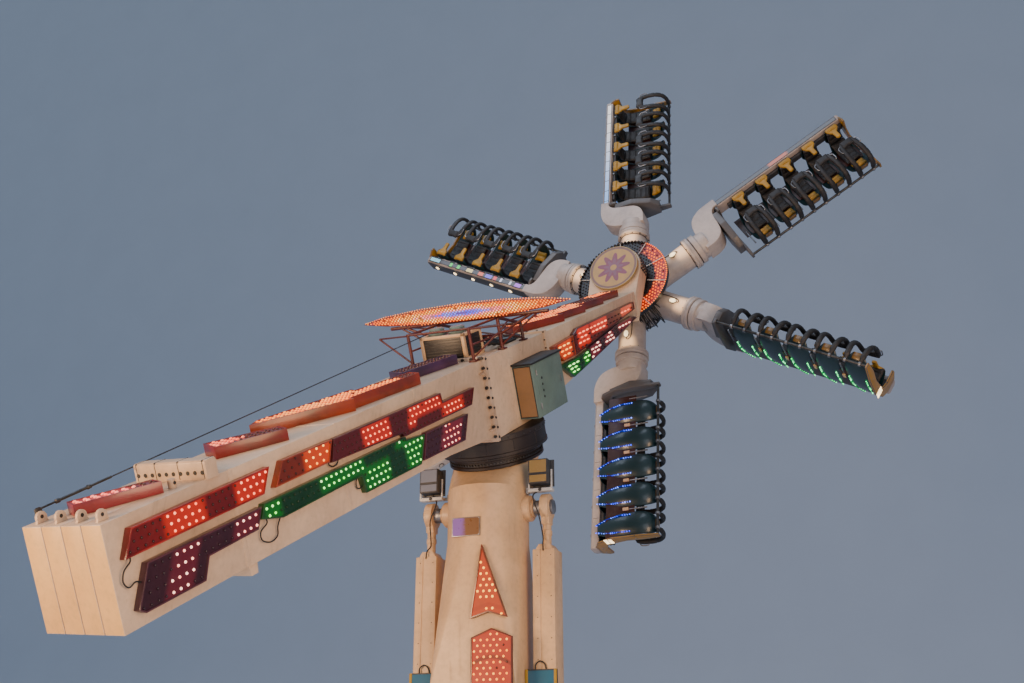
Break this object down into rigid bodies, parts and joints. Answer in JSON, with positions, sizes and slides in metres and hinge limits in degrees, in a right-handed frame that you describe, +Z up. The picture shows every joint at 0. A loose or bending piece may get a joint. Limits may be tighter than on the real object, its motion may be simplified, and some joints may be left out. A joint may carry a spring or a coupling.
{
  "type": "slewing boom fairground ride",
  "caption": "Fairground ride: a tower carries a counterweighted boom on a tilted slewing ring, with a canted star of arms and free-swinging rows of seats at its end.",
  "frame": {"origin": "on the ground under the centre of the slewing ring, at the middle of the base frame's ground plate", "axes": "+Z up; -Y towards the side the tilted ring leans down to, where the counterweight end lies at rest; +X to the right when seen from that side"},
  "size_m": [11.1157, 15.7179, 18.7638],
  "materials": {
    "tower_cream": "satin",
    "base_steel": "matte",
    "boom_cream": "satin",
    "ring_steel": "satin",
    "skirt_brown": "satin",
    "lamp_black": "matte",
    "screen_blue": "gloss",
    "panel_yellow": "gloss",
    "panel_red": "gloss",
    "panel_orange": "gloss",
    "panel_green": "gloss",
    "panel_purple": "gloss",
    "panel_pink": "gloss",
    "cabinet_teal": "satin",
    "frame_red": "satin",
    "sign_board": "gloss",
    "seat_shell": "gloss",
    "harness_black": "matte"
  },
  "bodies": {
    "tower": {"base_frame": "base_steel", "outrigger_1": "base_steel", "outrigger_2": "base_steel", "outrigger_3": "base_steel", "outrigger_4": "base_steel", "tower_column": "tower_cream", "side_strut_left": "tower_cream", "side_strut_right": "tower_cream", "floodlight_left": "lamp_black", "floodlight_right": "lamp_black", "side_screen_left": "screen_blue", "side_screen_right": "screen_blue", "arrow_lamp_panel": "panel_yellow", "tower_light_panel": "panel_red", "slewing_ring": "ring_steel"},
    "boom": {"slewing_skirt": "skirt_brown", "counterweight_box": "boom_cream", "rear_beam": "boom_cream", "centre_housing": "boom_cream", "front_beam": "boom_cream", "boom_head": "boom_cream", "hub_badge": "panel_yellow", "band_rear_upper_right": "panel_red", "band_rear_upper_left": "panel_red", "band_rear_lower_right": "panel_green", "band_rear_lower_left": "panel_green", "band_front_upper_right": "panel_orange", "band_front_upper_left": "panel_orange", "band_front_lower_right": "panel_purple", "band_front_lower_left": "panel_purple", "top_light_rear": "panel_pink", "top_light_second": "panel_red", "top_light_middle": "panel_orange", "top_light_inner": "panel_purple", "top_light_front": "panel_red", "control_cabinet": "cabinet_teal", "drive_unit": "lamp_black", "sign_frame": "frame_red", "name_sign": "sign_board", "stay_cable": "ring_steel"},
    "star": {"star_arms": "boom_cream", "light_disc": "lamp_black"},
    "gondola_a": {"yoke_a": "boom_cream", "seats_a": "seat_shell"},
    "restraint_a": {"harness_a": "harness_black"},
    "gondola_b": {"yoke_b": "boom_cream", "seats_b": "seat_shell"},
    "restraint_b": {"harness_b": "harness_black"},
    "gondola_c": {"yoke_c": "boom_cream", "seats_c": "seat_shell"},
    "restraint_c": {"harness_c": "harness_black"},
    "gondola_d": {"yoke_d": "boom_cream", "seats_d": "seat_shell"},
    "restraint_d": {"harness_d": "harness_black"},
    "gondola_e": {"yoke_e": "boom_cream", "seats_e": "seat_shell"},
    "restraint_e": {"harness_e": "harness_black"},
    "gondola_f": {"yoke_f": "boom_cream", "seats_f": "seat_shell"},
    "restraint_f": {"harness_f": "harness_black"}
  },
  "joints": [
    {"name": "boom_turn", "type": "hinge", "parent": "tower", "child": "boom", "pos_m": [0, 0, 8.5], "axis": [0, -0.5, 0.866], "continuous": true},
    {"name": "star_turn", "type": "hinge", "parent": "boom", "child": "star", "pos_m": [1.14387, 5.81299, 12.87583], "axis": [-0.1172, -0.9719, 0.204], "continuous": true},
    {"name": "gondola_swing_a", "type": "hinge", "parent": "star", "child": "gondola_a", "pos_m": [1.14358, 6.20327, 14.73531], "axis": [-0.0002, 0.2054, 0.9787], "continuous": true},
    {"name": "restraint_lift_a", "type": "hinge", "parent": "gondola_a", "child": "restraint_a", "pos_m": [1.91553, 6.69486, 15.75622], "axis": [-0.0002, 0.2054, 0.9787], "range_deg": [0, 95]},
    {"name": "gondola_swing_b", "type": "hinge", "parent": "star", "child": "gondola_b", "pos_m": [2.77784, 5.81951, 13.84541], "axis": [0.86, 0.0034, 0.5103], "continuous": true},
    {"name": "restraint_lift_b", "type": "hinge", "parent": "gondola_b", "child": "restraint_b", "pos_m": [4.13107, 6.0003, 13.71927], "axis": [0.86, 0.0034, 0.5103], "range_deg": [0, 95]},
    {"name": "gondola_swing_c", "type": "hinge", "parent": "star", "child": "gondola_c", "pos_m": [2.77813, 5.42923, 11.98593], "axis": [0.8601, -0.202, -0.4684], "continuous": true},
    {"name": "restraint_lift_c", "type": "hinge", "parent": "gondola_c", "child": "restraint_c", "pos_m": [3.45946, 4.44927, 11.31117], "axis": [0.8601, -0.202, -0.4684], "range_deg": [0, 95]},
    {"name": "gondola_swing_d", "type": "hinge", "parent": "star", "child": "gondola_d", "pos_m": [1.14416, 5.42271, 11.01634], "axis": [0.0002, -0.2054, -0.9787], "continuous": true},
    {"name": "restraint_lift_d", "type": "hinge", "parent": "gondola_d", "child": "restraint_d", "pos_m": [1.83209, 4.7626, 10.03103], "axis": [0.0002, -0.2054, -0.9787], "range_deg": [0, 95]},
    {"name": "gondola_swing_e", "type": "hinge", "parent": "star", "child": "gondola_e", "pos_m": [-0.4901, 5.80647, 11.90624], "axis": [-0.86, -0.0034, -0.5103], "continuous": true},
    {"name": "restraint_lift_e", "type": "hinge", "parent": "gondola_e", "child": "restraint_e", "pos_m": [-1.75897, 6.32547, 11.88552], "axis": [-0.86, -0.0034, -0.5103], "range_deg": [0, 95]},
    {"name": "gondola_swing_f", "type": "hinge", "parent": "star", "child": "gondola_f", "pos_m": [-0.49039, 6.19675, 13.76572], "axis": [-0.8601, 0.202, 0.4684], "continuous": true},
    {"name": "restraint_lift_f", "type": "hinge", "parent": "gondola_f", "child": "restraint_f", "pos_m": [-1.02949, 6.85745, 14.83935], "axis": [-0.8601, 0.202, 0.4684], "range_deg": [0, 95]}
  ]
}
